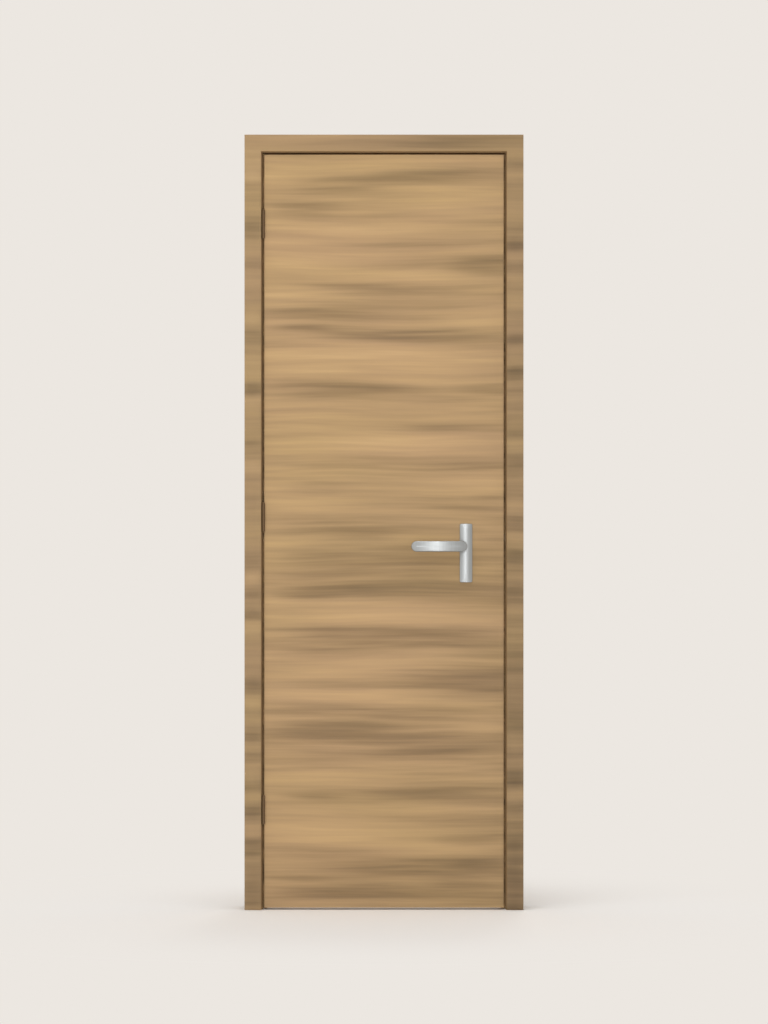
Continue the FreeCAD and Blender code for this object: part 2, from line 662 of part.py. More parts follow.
def lever(name, face, side):
    body = new_body(name, SPINDLE_X, face, SPINDLE_Z)
    inner = signed(side, "lever_standoff")
    outer = signed(side, "lever_standoff + lever_thickness")
    drawing = new_sketch(body, "XY_Plane", "plan", "-lever_height / 2")
    outline(drawing, [
        (LEVER_RIGHT, inner, "lever_bow", side),
        ("-lever_reach", inner),
        ("-lever_reach", outer, "lever_bow", -side),
        (LEVER_RIGHT, outer),
    ])
    solid = pad(body, drawing, "lever_height")
    names = find_edges(solid, lambda middle, heading: parallel(heading, Y_AXIS))
    dress(body, "Fillet", solid, names, "Radius", "(lever_height - lever_end_flat) / 2")
    drawing = new_sketch(body, "XZ_Plane", "neck")
    circle(drawing, "0", "0", "neck_radius")
    pad(body, drawing, "lever_standoff + lever_thickness / 2", reverse=side > 0)
    drawing = new_sketch(body, "XZ_Plane", "socket")
    rectangle(drawing, "-" + SQUARE_HALF, SQUARE_HALF, "-" + SQUARE_HALF, SQUARE_HALF)
    pocket(body, drawing, "socket_depth", reverse=side < 0)


grip_plate("front_handle_plate", JAMB_FRONT, -1)
grip_plate("back_handle_plate", LEAF_BACK, 1)
lever("front_lever", JAMB_FRONT, -1)
lever("back_lever", LEAF_BACK, 1)
spindle = box("spindle", "spindle_side", "leaf_thickness + 2 * (socket_depth - socket_spare)", "spindle_side",
              SPINDLE_X + " - spindle_side / 2", JAMB_FRONT + " - socket_depth + socket_spare",
              SPINDLE_Z + " - spindle_side / 2")
keep(spindle, "spindle")


# Latch: a sheet case behind a bevelled faceplate, a follower on the spindle, and the bolt.
latch_case = leaf_body("latch_case")
sketch = new_sketch(latch_case, "XZ_Plane", "side", "-" + CASE_BACK)
rectangle(sketch, CASE_END, CASE_MOUTH, CASE_LOW, CASE_HIGH)
pad(latch_case, sketch, "case_thickness")
sketch = new_sketch(latch_case, "XZ_Plane", "hollow", "-(%s + case_wall)" % CASE_FRONT)
rectangle(sketch, CASE_END + " + case_wall", CASE_MOUTH + " - case_wall",
          CASE_LOW + " + case_wall", CASE_HIGH + " - case_wall")
pocket(latch_case, sketch, "case_thickness - 2 * case_wall")
BOLT_FRONT = "(leaf_thickness / 2 - bolt_thickness / 2 - bolt_clearance)"
BOLT_BACK = "(leaf_thickness / 2 + bolt_thickness / 2 + bolt_clearance)"
BOLT_LOW = "(spindle_height + bolt_rise - bolt_height / 2 - bolt_clearance)"
BOLT_HIGH = "(spindle_height + bolt_rise + bolt_height / 2 + bolt_clearance)"
sketch = new_sketch(latch_case, "YZ_Plane", "mouth", CASE_MOUTH)
rectangle(sketch, BOLT_FRONT, BOLT_BACK, BOLT_LOW, BOLT_HIGH)
pocket(latch_case, sketch, "2 * case_wall")
sketch = new_sketch(latch_case, "XZ_Plane", "hub_holes")
circle(sketch, AXIS_IN, "spindle_height", "hub_radius + hub_clearance")
pocket(latch_case, sketch)

latch_faceplate = leaf_body("latch_faceplate")
sketch = new_sketch(latch_faceplate, "XY_Plane", "plan", FACE_LOW)
outline(sketch, [
    (edge_at(FACE_FRONT) + " - faceplate_thickness", FACE_FRONT),
    (edge_at(FACE_FRONT), FACE_FRONT),
    (edge_at(FACE_REAR), FACE_REAR),
    (edge_at(FACE_REAR) + " - faceplate_thickness", FACE_REAR),
])
pad(latch_faceplate, sketch, "faceplate_height")
sketch = new_sketch(latch_faceplate, "YZ_Plane", "bolt_hole")
rectangle(sketch, BOLT_FRONT, BOLT_BACK, BOLT_LOW, BOLT_HIGH)
pocket(latch_faceplate, sketch, reverse=True)

follower = new_body("follower", SPINDLE_X, LEAF_MIDDLE, SPINDLE_Z)
sketch = new_sketch(follower, "XZ_Plane", "hub")
circle(sketch, "0", "0", "hub_radius")
pad(follower, sketch, "case_thickness - 2 * hub_inset", both=True)
sketch = new_sketch(follower, "XZ_Plane", "disc")
circle(sketch, "0", "0", "follower_radius")
pad(follower, sketch, "tail_thickness", both=True)
sketch = new_sketch(follower, "XZ_Plane", "finger")
rectangle(sketch, "-finger_width / 2", "finger_width / 2", "0", "finger_reach")
pad(follower, sketch, "tail_thickness", both=True)
sketch = new_sketch(follower, "XZ_Plane", "square")
rectangle(sketch, "-" + SQUARE_HALF, SQUARE_HALF, "-" + SQUARE_HALF, SQUARE_HALF)
pocket(follower, sketch, both=True)

BOLT_EDGE = "(backset - edge_bevel / 2)"
HEAD_REAR = "(backset - edge_bevel / 2 - faceplate_thickness - bolt_body)"
latch_bolt = new_body("latch_bolt", SPINDLE_X, LEAF_MIDDLE, SPINDLE_Z)
sketch = new_sketch(latch_bolt, "XY_Plane", "head", "bolt_rise - bolt_height / 2")
outline(sketch, [
    (HEAD_REAR, "-bolt_thickness / 2"),
    (BOLT_EDGE + " + bolt_throw", "-bolt_thickness / 2"),
    (BOLT_EDGE + " + bolt_throw", "bolt_nose - bolt_thickness / 2"),
    (BOLT_EDGE + " + bolt_shoulder", "bolt_thickness / 2"),
    (HEAD_REAR, "bolt_thickness / 2"),
])
pad(latch_bolt, sketch, "bolt_height")
sketch = new_sketch(latch_bolt, "XZ_Plane", "tail")
outline(sketch, [
    ("-tail_behind", "tail_rise"),
    ("-slot_pull", "tail_rise"),
    ("-slot_pull", "tail_rise + slot_height"),
    ("slot_free", "tail_rise + slot_height"),
    ("slot_free", "tail_rise"),
    (HEAD_REAR, "tail_rise"),
    (HEAD_REAR, "tail_rise + tail_height"),
    ("-tail_behind", "tail_rise + tail_height"),
])
pad(latch_bolt, sketch, "tail_thickness", both=True)


doc.recompute()
for item in doc.Objects:
    if "Invalid" in item.State or "Error" in item.State:
        raise RuntimeError(item.Name + " did not build")
for item in pieces:
    if item.Shape.isNull() or not item.Shape.isValid():
        raise RuntimeError(item.Label + " has no valid shape")
    if len(item.Shape.Solids) != 1:
        raise RuntimeError(item.Label + " is not one solid")

os.makedirs("parts", exist_ok=True)
for item in pieces:
    item.Shape.exportStep("parts/%s.step" % item.Label)
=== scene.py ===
import bmesh
import bpy
import json
import math
from mathutils import Matrix, Vector


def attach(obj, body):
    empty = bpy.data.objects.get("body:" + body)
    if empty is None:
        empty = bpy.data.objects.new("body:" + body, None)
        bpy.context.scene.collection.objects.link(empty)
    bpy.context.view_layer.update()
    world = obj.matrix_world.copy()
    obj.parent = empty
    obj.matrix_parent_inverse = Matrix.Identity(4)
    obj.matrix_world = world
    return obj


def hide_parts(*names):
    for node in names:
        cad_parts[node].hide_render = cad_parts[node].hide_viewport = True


# Visual model of a flush hollow core door in its frame: materials, eased handles, screws, a plain
# floor, soft light and the camera. Lengths are in metres, in the frame of the solids.
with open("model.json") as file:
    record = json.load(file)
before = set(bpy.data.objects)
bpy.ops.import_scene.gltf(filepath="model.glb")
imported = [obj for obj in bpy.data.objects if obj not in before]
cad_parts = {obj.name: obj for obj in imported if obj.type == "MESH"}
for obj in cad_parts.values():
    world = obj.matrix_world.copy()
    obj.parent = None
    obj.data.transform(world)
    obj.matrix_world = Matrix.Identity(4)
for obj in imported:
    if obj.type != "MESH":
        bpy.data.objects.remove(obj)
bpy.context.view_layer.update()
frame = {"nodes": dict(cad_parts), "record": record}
nodes = frame["nodes"]


def colour(red, green, blue):
    """A colour written as 0 to 255, as linear values."""
    values = []
    for part in (red, green, blue):
        part = part / 255
        values.append(part / 12.92 if part <= 0.04045 else ((part + 0.055) / 1.055) ** 2.4)
    return (values[0], values[1], values[2], 1.0)


# Camera: level, square to the door, with a long lens.
CAMERA_SPOT = (0.3498, -10.405, 1.0721)
CAMERA_LENS = 135
CAMERA_SENSOR = 36
CAMERA_REACH = 200
camera_data = bpy.data.cameras.new("camera")
camera_data.lens = CAMERA_LENS
camera_data.sensor_width = CAMERA_SENSOR
camera_data.clip_end = CAMERA_REACH
camera = bpy.data.objects.new("camera", camera_data)
camera.location = CAMERA_SPOT
camera.rotation_euler = (math.radians(90), 0, 0)
bpy.context.scene.collection.objects.link(camera)
bpy.context.scene.camera = camera
bpy.context.scene.view_settings.view_transform = "Standard"


class Tree:
    """Short calls for making and joining shader nodes."""

    def __init__(self, tree):
        self.tree = tree
        tree.nodes.clear()

    def node(self, kind, **settings):
        item = self.tree.nodes.new(kind)
        for key, value in settings.items():
            setattr(item, key, value)
        return item

    def feed(self, socket, value):
        if isinstance(value, bpy.types.NodeSocket):
            self.tree.links.new(value, socket)
        elif value is not None:
            socket.default_value = value

    def math(self, operation, first, second=None, third=None):
        item = self.node("ShaderNodeMath", operation=operation)
        self.feed(item.inputs[0], first)
        self.feed(item.inputs[1], second)
        self.feed(item.inputs[2], third)
        return item.outputs[0]

    def vector(self, operation, first, second=None):
        item = self.node("ShaderNodeVectorMath", operation=operation)
        self.feed(item.inputs[0], first)
        self.feed(item.inputs[1], second)
        return item.outputs["Value" if operation == "LENGTH" else "Vector"]

    def place(self, vector, location=(0, 0, 0), turn=(0, 0, 0), size=(1, 1, 1), kind="POINT"):
        item = self.node("ShaderNodeMapping", vector_type=kind)
        self.feed(item.inputs["Vector"], vector)
        item.inputs["Location"].default_value = location
        item.inputs["Rotation"].default_value = turn
        item.inputs["Scale"].default_value = size
        return item.outputs[0]

    def noise(self, vector, size=1.0, detail=2.0, rough=0.5, warp=0.0):
        item = self.node("ShaderNodeTexNoise", noise_dimensions="3D")
        self.feed(item.inputs["Vector"], vector)
        item.inputs["Scale"].default_value = size
        item.inputs["Detail"].default_value = detail
        item.inputs["Roughness"].default_value = rough
        item.inputs["Distortion"].default_value = warp
        return item.outputs[0]

    def spread(self, value, low, high, to_low=0.0, to_high=1.0, smooth=False):
        item = self.node("ShaderNodeMapRange")
        if smooth:
            item.interpolation_type = "SMOOTHERSTEP"
        self.feed(item.inputs[0], value)
        for index, number in enumerate((low, high, to_low, to_high), start=1):
            item.inputs[index].default_value = number
        return item.outputs[0]

    def ramp(self, value, stops):
        item = self.node("ShaderNodeValToRGB")
        self.feed(item.inputs[0], value)
        band = item.color_ramp
        while len(band.elements) < len(stops):
            band.elements.new(0.5)
        for element, (spot, shade) in zip(band.elements, stops):
            element.position = spot
            element.color = shade
        return item.outputs[0]

    def mix(self, share, first, second, mode="MIX"):
        """Mix of two colours, whose sockets are 6 and 7 of this node."""
        item = self.node("ShaderNodeMix", data_type="RGBA", blend_type=mode)
        self.feed(item.inputs[0], share)
        self.feed(item.inputs[6], first)
        self.feed(item.inputs[7], second)
        return item.outputs[2]

    def bump(self, height, strength, distance):
        item = self.node("ShaderNodeBump")
        self.feed(item.inputs["Height"], height)
        item.inputs["Strength"].default_value = strength
        item.inputs["Distance"].default_value = distance
        return item.outputs[0]

    def surface(self, base, rough, normal=None, metal=0.0, **extra):
        shader = self.node("ShaderNodeBsdfPrincipled")
        self.feed(shader.inputs["Base Color"], base)
        self.feed(shader.inputs["Roughness"], rough)
        self.feed(shader.inputs["Normal"], normal)
        shader.inputs["Metallic"].default_value = metal
        for key, value in extra.items():
            self.feed(shader.inputs[key.replace("_", " ")], value)
        self.feed(self.node("ShaderNodeOutputMaterial").inputs[0], shader.outputs[0])


def new_material(name):
    """An empty node material and the calls that fill it."""
    material = bpy.data.materials.new(name)
    material.use_nodes = True
    return material, Tree(material.node_tree)


def lie(tree):
    """Where a point lies on the object, in metres."""
    return tree.node("ShaderNodeTexCoord").outputs["Object"]


# Placed streaks of the veneer: middle x and z, half length, half width, slope, strength.
# A dark streak has a negative strength.
LEAF_FIGURE = (
    (0.393, 1.964, 0.350, 0.0189, 0.06, -0.16),
    (0.123, 1.891, 0.135, 0.0215, 0.00, -0.16),
    (0.447, 1.802, 0.242, 0.0108, 0.00, -0.08),
    (0.635, 1.743, 0.121, 0.0189, 0.00, -0.18),
    (0.340, 1.676, 0.300, 0.0180, 0.00, -0.15),
    (0.177, 1.611, 0.215, 0.0135, 0.00, -0.07),
    (0.393, 1.549, 0.350, 0.0189, -0.04, -0.18),
    (0.204, 1.401, 0.269, 0.0215, 0.00, -0.19),
    (0.635, 1.403, 0.108, 0.0135, 0.00, -0.12),
    (0.554, 1.298, 0.189, 0.0108, 0.00, -0.12),
    (0.393, 1.199, 0.350, 0.0135, 0.00, -0.08),
    (0.581, 1.094, 0.162, 0.0162, -0.03, -0.11),
    (0.258, 1.034, 0.242, 0.0189, 0.00, -0.14),
    (0.474, 0.951, 0.242, 0.0242, 0.00, -0.11),
    (0.204, 0.916, 0.162, 0.0135, 0.00, -0.10),
    (0.312, 0.859, 0.323, 0.0189, 0.03, -0.22),
    (0.393, 0.735, 0.269, 0.0269, -0.04, -0.18),
    (0.554, 0.606, 0.215, 0.0215, -0.03, -0.13),
    (0.300, 0.535, 0.310, 0.0170, 0.00, -0.25),
    (0.250, 0.484, 0.310, 0.0220, 0.00, -0.15),
    (0.474, 0.426, 0.189, 0.0162, 0.03, -0.12),
    (0.460, 0.309, 0.260, 0.0150, 0.00, -0.10),
    (0.500, 0.121, 0.300, 0.0189, 0.00, -0.21),
    (0.123, 0.084, 0.108, 0.0081, 0.00, -0.09),
    (0.285, 0.047, 0.250, 0.0162, 0.00, -0.27),
    (0.150, 1.974, 0.140, 0.0125, 0.00, -0.14),
    (0.135, 1.566, 0.100, 0.0100, 0.00, -0.11),
    (0.170, 1.138, 0.110, 0.0140, 0.00, -0.09),
    (0.170, 0.956, 0.110, 0.0120, 0.00, -0.09),
    (0.165, 0.303, 0.100, 0.0095, 0.00, -0.10),
    (0.570, 0.188, 0.100, 0.0140, 0.00, -0.10),
    (0.600, 0.118, 0.090, 0.0110, 0.00, -0.11),
    (0.640, 1.108, 0.070, 0.0100, 0.00, -0.09),
    (0.200, 1.185, 0.190, 0.0095, 0.00, -0.09),
    (0.230, 1.018, 0.200, 0.0150, 0.00, -0.07),
    (0.145, 0.848, 0.110, 0.0135, 0.00, -0.10),
    (0.160, 0.752, 0.120, 0.0120, 0.00, -0.09),
    (0.200, 0.699, 0.170, 0.0180, 0.00, -0.09),
    (0.440, 0.189, 0.230, 0.0095, 0.00, -0.11),
    (0.570, 0.066, 0.140, 0.0180, 0.00, -0.15),
    (0.380, 2.002, 0.190, 0.0135, 0.00, 0.09),
    (0.123, 1.985, 0.162, 0.0135, 0.00, 0.10),
    (0.554, 1.921, 0.215, 0.0296, 0.00, 0.10),
    (0.258, 1.834, 0.269, 0.0135, -0.04, 0.07),
    (0.150, 1.745, 0.215, 0.0269, 0.00, 0.14),
    (0.420, 1.710, 0.242, 0.0162, 0.00, 0.13),
    (0.608, 1.592, 0.135, 0.0242, 0.00, 0.12),
    (0.350, 1.733, 0.160, 0.0160, 0.00, 0.08),
    (0.350, 1.465, 0.404, 0.0377, 0.00, 0.15),
    (0.500, 1.447, 0.160, 0.0120, 0.00, 0.09),
    (0.350, 1.369, 0.180, 0.0160, 0.00, 0.07),
    (0.170, 1.441, 0.130, 0.0135, 0.00, 0.08),
    (0.300, 1.781, 0.140, 0.0120, 0.00, 0.09),
    (0.480, 1.714, 0.140, 0.0100, 0.00, 0.08),
    (0.420, 1.203, 0.240, 0.0100, 0.00, 0.07),
    (0.204, 1.344, 0.242, 0.0189, 0.00, 0.10),
    (0.393, 1.253, 0.350, 0.0215, 0.00, 0.13),
    (0.554, 1.145, 0.215, 0.0215, 0.00, 0.12),
    (0.150, 1.091, 0.215, 0.0242, 0.00, 0.15),
    # A light streak just above the lever bar: partly the veneer's own figure, partly painted light that lifts
    # the shadow the lever casts on the leaf.
    (0.500, 1.004, 0.150, 0.0125, 0.00, 0.18),
    (0.530, 0.960, 0.110, 0.0140, 0.00, 0.08),
    (0.550, 0.905, 0.100, 0.0130, 0.00, 0.10),
    (0.640, 0.914, 0.070, 0.0135, 0.00, 0.14),
    (0.350, 0.805, 0.404, 0.0296, -0.03, 0.21),
    (0.350, 0.763, 0.170, 0.0140, 0.00, 0.08),
    (0.500, 0.684, 0.130, 0.0095, 0.00, 0.09),
    (0.285, 0.663, 0.323, 0.0215, 0.00, 0.11),
    (0.339, 0.576, 0.377, 0.0155, 0.00, 0.13),
    (0.635, 0.498, 0.108, 0.0162, 0.00, 0.10),
    (0.350, 0.404, 0.190, 0.0140, 0.00, 0.11),
    (0.204, 0.353, 0.269, 0.0215, 0.00, 0.14),
    (0.320, 0.306, 0.170, 0.0200, 0.00, 0.08),
    (0.474, 0.275, 0.296, 0.0162, 0.00, 0.13),
    (0.312, 0.210, 0.377, 0.0323, -0.02, 0.18),
    (0.527, 0.170, 0.215, 0.0189, 0.00, 0.10),
)

CASING_FIGURE = (
    (-0.006, 1.947, 0.048, 0.0151, 0.00, -0.12),
    (-0.006, 1.832, 0.048, 0.0345, 0.00, -0.12),
    (-0.006, 1.748, 0.048, 0.0172, 0.00, -0.08),
    (-0.006, 1.543, 0.048, 0.0259, 0.00, -0.10),
    (-0.006, 1.398, 0.048, 0.0172, 0.00, -0.26),
    (-0.006, 1.244, 0.048, 0.0259, 0.00, -0.14),
    (-0.006, 1.088, 0.048, 0.0151, 0.00, -0.15),
    (-0.006, 0.937, 0.048, 0.0215, 0.00, -0.15),
    (-0.006, 0.862, 0.048, 0.0129, 0.00, -0.12),
    (-0.006, 0.797, 0.048, 0.0194, 0.00, -0.19),
    (-0.006, 0.601, 0.048, 0.0194, 0.00, -0.22),
    (-0.006, 0.471, 0.048, 0.0172, 0.00, -0.16),
    (-0.006, 0.412, 0.048, 0.0129, 0.00, -0.10),
    (-0.006, 0.261, 0.048, 0.0215, 0.00, -0.15),
    (-0.006, 0.167, 0.048, 0.0194, 0.00, -0.18),
    (-0.006, 0.050, 0.048, 0.0500, 0.00, -0.15),
    (-0.006, 1.160, 0.048, 0.0172, 0.00, -0.14),
    (-0.006, 1.977, 0.048, 0.0172, 0.00, 0.17),
    (-0.006, 0.910, 0.048, 0.0129, 0.00, 0.16),
    (-0.006, 0.298, 0.048, 0.0172, 0.00, 0.16),
    (-0.006, 1.595, 0.048, 0.0194, 0.00, 0.20),
    (-0.006, 1.500, 0.048, 0.0302, 0.00, 0.10),
    (-0.006, 1.350, 0.048, 0.0259, 0.00, 0.17),
    (-0.006, 1.188, 0.048, 0.0237, 0.00, 0.17),
    (-0.006, 0.897, 0.048, 0.0172, 0.00, 0.20),
    (-0.006, 0.762, 0.048, 0.0237, 0.00, 0.20),
    (-0.006, 0.563, 0.048, 0.0194, 0.00, 0.22),
    (-0.006, 0.369, 0.048, 0.0237, 0.00, 0.17),
    (-0.006, 0.216, 0.048, 0.0194, 0.00, 0.20),
    (0.703, 1.996, 0.048, 0.0129, 0.00, -0.09),
    (0.703, 1.794, 0.048, 0.0172, 0.00, -0.19),
    (0.703, 1.535, 0.048, 0.0194, 0.00, -0.18),
    (0.703, 1.441, 0.048, 0.0194, 0.00, -0.17),
    (0.703, 1.282, 0.048, 0.0129, 0.00, -0.11),
    (0.703, 1.194, 0.048, 0.0260, 0.00, -0.09),
    (0.703, 1.045, 0.048, 0.0215, 0.00, -0.11),
    (0.703, 0.948, 0.048, 0.0194, 0.00, -0.15),
    (0.703, 0.862, 0.048, 0.0194, 0.00, -0.08),
    (0.703, 0.695, 0.048, 0.0215, 0.00, -0.08),
    (0.703, 0.512, 0.048, 0.0237, 0.00, -0.07),
    (0.703, 0.353, 0.048, 0.0194, 0.00, -0.18),
    (0.703, 0.173, 0.048, 0.0172, 0.00, -0.14),
    (0.703, 0.075, 0.048, 0.0700, 0.00, -0.17),
    (0.703, 0.268, 0.048, 0.0129, 0.00, -0.13),
    (0.703, 1.310, 0.048, 0.0129, 0.00, 0.10),
    (0.703, 1.752, 0.048, 0.0129, 0.00, 0.12),
    (0.703, 1.702, 0.048, 0.0172, 0.00, 0.14),
    (0.703, 1.638, 0.048, 0.0172, 0.00, 0.11),
    (0.703, 1.498, 0.048, 0.0215, 0.00, 0.16),
    (0.703, 1.255, 0.048, 0.0172, 0.00, 0.14),
    (0.703, 1.091, 0.048, 0.0215, 0.00, 0.16),
    (0.703, 1.005, 0.048, 0.0172, 0.00, 0.13),
    (0.703, 0.811, 0.048, 0.0151, 0.00, 0.12),
    (0.703, 0.453, 0.048, 0.0215, 0.00, 0.15),
    (0.703, 0.304, 0.048, 0.0194, 0.00, 0.15),
    (0.474, 2.058, 0.269, 0.0070, 0.00, -0.14),
    (0.123, 2.074, 0.162, 0.0081, 0.00, 0.10),
    (0.581, 2.077, 0.162, 0.0081, 0.00, -0.08),
)

# Shades of the veneer from dark to light.
WOOD_STOPS = (
    (0.00, colour(124, 100, 68)),
    (0.25, colour(152, 124, 86)),
    (0.50, colour(179, 147, 104)),
    (0.75, colour(198, 163, 115)),
    (1.00, colour(214, 178, 128)),
)

# Noise in the veneer: stretch along x, y and z, detail, roughness. The grain runs along x.
SWAY = ((1.7, 1.9, 5.0), 1.5, 0.4)
BROAD = ((1.2, 2.2, 16), 2.0, 0.5)
MIDDLE = ((2.0, 3.5, 46), 2.0, 0.5)
FINE = ((4.4, 8.0, 130), 2.0, 0.5)
FIBRE = ((16, 40, 1100), 2.0, 0.6)
PATCH = ((1.3, 1.9, 6.5), 2.0, 0.5)

# Weight of each noise in the tone, and the height of the sway.
BROAD_WEIGHT = 1.30
MIDDLE_WEIGHT = 1.30
FINE_WEIGHT = 0.62
FIBRE_WEIGHT = 0.14
SWAY_HEIGHT = 0.030

# Faint change of hue from patch to patch.
PATCH_SHIFT = (4.1, 0, 9.3)
PATCH_TINTS = ((0.36, (0.990, 1.004, 0.965, 1.0)), (0.64, (1.006, 0.998, 1.045, 1.0)))

# How far a placed streak reaches, as a share of its half length and half width, and how strong it is.
STREAK_LENGTH = 1.45
STREAK_WIDTH = 2.15
STREAK_DEPTH = 10.0
DARK_WEIGHT = 1.45
LIGHT_WEIGHT = 1.2

# Size of the whole door, over which its painted light falls off.
DOOR_WIDTH = 0.70
DOOR_HEIGHT = 2.09

# Where most of a noise lies, and what it is spread to: strength of the streaks, roughness.
NOISE_SPAN = (0.3, 0.7)
STREAK_UNEVEN = (1.25, 0.80)
WOOD_ROUGH = (0.50, 0.60)
WOOD_GLOSS = 0.35
FIBRE_BUMP = 0.6
FINE_BUMP = 0.4
WOOD_BUMP = (0.25, 0.0004)


def layer(tree, spot, kind, start=(0, 0, 0)):
    """Noise of one kind, at a point."""
    stretch, detail, rough = kind
    return tree.noise(tree.place(spot, start, size=stretch), detail=detail, rough=rough)


def placed_streaks(tree, spot, figure):
    """The sum of all the placed streaks, at a point."""
    total = None
    for along, height, half_length, half_width, slope, strength in figure:
        turn = (0, -math.atan(slope), 0)
        size = (half_length * STREAK_LENGTH, STREAK_DEPTH, half_width * STREAK_WIDTH)
        near = tree.place(spot, (along, 0, height), turn, size, "TEXTURE")
        peak = strength * (DARK_WEIGHT if strength < 0 else LIGHT_WEIGHT)
        share = tree.spread(tree.vector("LENGTH", near), 0.0, 1.0, peak, 0.0, smooth=True)
        total = share if total is None else tree.math("ADD", total, share)
    return total


def wood(name, stops, offset, figure=(), gain=1.0, painted_light_fall=(0.0, 0.0), edge=None):
    """Veneer: layers of noise, placed streaks, and a painted light: a tone that falls off to the right and
    down.

    The gain is the strength of the noise. Before the edge, a y and a shade, the wood has that shade, a
    painted shade that stands in for the shadow in a gap.
    """
    material, tree = new_material(name)
    spot = lie(tree)
    moved = tree.vector("ADD", spot, offset)
    sway = tree.math("SUBTRACT", layer(tree, moved, SWAY), 0.5)
    lift = tree.node("ShaderNodeCombineXYZ")
    tree.feed(lift.inputs[2], tree.math("MULTIPLY", sway, SWAY_HEIGHT))
    bent = tree.vector("ADD", moved, lift.outputs[0])
    broad, middle, fine, fibre = [layer(tree, bent, kind) for kind in (BROAD, MIDDLE, FINE, FIBRE)]
    weights = (BROAD_WEIGHT, MIDDLE_WEIGHT, FINE_WEIGHT, FIBRE_WEIGHT)
    tone = 0.5 - gain * sum(weights) / 2
    for noise, weight in zip((broad, middle, fine, fibre), weights):
        tone = tree.math("MULTIPLY_ADD", noise, weight * gain, tone)
    if figure:
        streaks = placed_streaks(tree, tree.vector("ADD", spot, lift.outputs[0]), figure)
        uneven = tree.spread(middle, *NOISE_SPAN, *STREAK_UNEVEN)
        tone = tree.math("MULTIPLY_ADD", streaks, uneven, tone)
    parts = tree.node("ShaderNodeSeparateXYZ")
    tree.feed(parts.inputs[0], spot)
    # Painted light: the tone is lighter to the left and at the top, and darker to the right and at the
    # bottom.
    tone = tree.math("ADD", tone, tree.spread(parts.outputs[2], 0.0, DOOR_HEIGHT, painted_light_fall[1], -painted_light_fall[1]))
    tone = tree.math("ADD", tone, tree.spread(parts.outputs[0], 0.0, DOOR_WIDTH, painted_light_fall[0], -painted_light_fall[0]))
    patch = layer(tree, moved, PATCH, PATCH_SHIFT)
    base = tree.mix(1.0, tree.ramp(tone, stops), tree.ramp(patch, PATCH_TINTS), "MULTIPLY")
    # Painted shade: in front of the edge the wood takes one dark colour that stands in for the shadow in the
    # gap.
    if edge is not None:
        front = tree.math("LESS_THAN", parts.outputs[1], edge[0])
        base = tree.mix(front, base, edge[1])
    rough = tree.spread(fine, *NOISE_SPAN, *WOOD_ROUGH)
    grain = tree.math("MULTIPLY_ADD", fine, FINE_BUMP, tree.math("MULTIPLY", fibre, FIBRE_BUMP))
    tree.surface(base, rough, tree.bump(grain, *WOOD_BUMP), Specular_IOR_Level=WOOD_GLOSS)
    return material


def shift(stops, red, green, blue):
    """The same range of shades, lighter or darker."""
    return tuple((spot, (c[0] * red, c[1] * green, c[2] * blue, 1.0)) for spot, c in stops)


LEAF_STOPS = shift(WOOD_STOPS, 0.945, 0.950, 0.970)
CASING_STOPS = shift(WOOD_STOPS, 0.735, 0.745, 0.770)
JAMB_STOPS = shift(WOOD_STOPS, 0.90, 0.89, 0.86)

# The front edge of the jambs, painted in a dark shade that stands in for the shadow of the gap, so that it
# shows as a dark line round the leaf.
JAMB_FRONT = -0.0495
PAINTED_GAP_SHADOW = colour(130, 102, 65)

# Each wood has its own part of the noise, by its offset.
# Leaf and casings carry painted light, lighter to the left and up, darker to the right and down.
leaf_wood = wood("leaf_wood", LEAF_STOPS, (0.0, 0.0, 0.0), LEAF_FIGURE, gain=0.46, painted_light_fall=(0.070, -0.085))
casing_wood = wood("casing_wood", CASING_STOPS, (3.7, 1.3, 8.1), CASING_FIGURE, gain=0.40, painted_light_fall=(0.09, -0.11))
# Jambs: their front edge carries the painted shade of the gap.
jamb_wood = wood("jamb_wood", JAMB_STOPS, (6.2, 4.4, 2.9), gain=0.8, edge=(JAMB_FRONT, PAINTED_GAP_SHADOW))


# Bare softwood and brown paper inside the leaf.
CORE_STOPS = ((0.2, colour(158, 126, 86)), (0.5, colour(182, 148, 104)), (0.8, colour(198, 164, 118)))
CORE_LINES = (90, 60, 1.2)
CORE_WARP = 0.4
CORE_PORES = ((900, 900, 25), 2.0, 0.5)
CORE_CONTRAST = 1.2
CORE_ROUGH = 0.72
CORE_BUMP = (0.2, 0.0003)
PAPER_STOPS = ((0.35, colour(162, 132, 96)), (0.65, colour(188, 158, 120)))
PAPER_FIBRES = 420
PAPER_ROUGH = 0.9
PAPER_BUMP = (0.3, 0.0002)


def core_material():
    """Bare softwood, with long growth lines up the stiles."""
    material, tree = new_material("core_wood")
    spot = lie(tree)
    lines = tree.noise(tree.place(spot, size=CORE_LINES), detail=3.0, rough=0.5, warp=CORE_WARP)
    tone = tree.math("MULTIPLY_ADD", lines, CORE_CONTRAST, 0.5 - CORE_CONTRAST / 2)
    pores = tree.bump(layer(tree, spot, CORE_PORES), *CORE_BUMP)
    tree.surface(tree.ramp(tone, CORE_STOPS), CORE_ROUGH, pores)
    return material


def paper_material():
    """Brown paper, fibrous and dull."""
    material, tree = new_material("core_paper")
    fibres = tree.noise(lie(tree), size=PAPER_FIBRES, detail=4.0, rough=0.6)
    tree.surface(tree.ramp(fibres, PAPER_STOPS), PAPER_ROUGH, tree.bump(fibres, *PAPER_BUMP))
    return material


# Brushed metal: where its two shades lie, and the share of a soft cloud in its gloss.
BRUSH_SPAN = (0.3, 0.7)
CLOUD_SIZE = 30
CLOUD_GRAIN = 0.06
METAL_BUMP = (0.06, 0.00005)


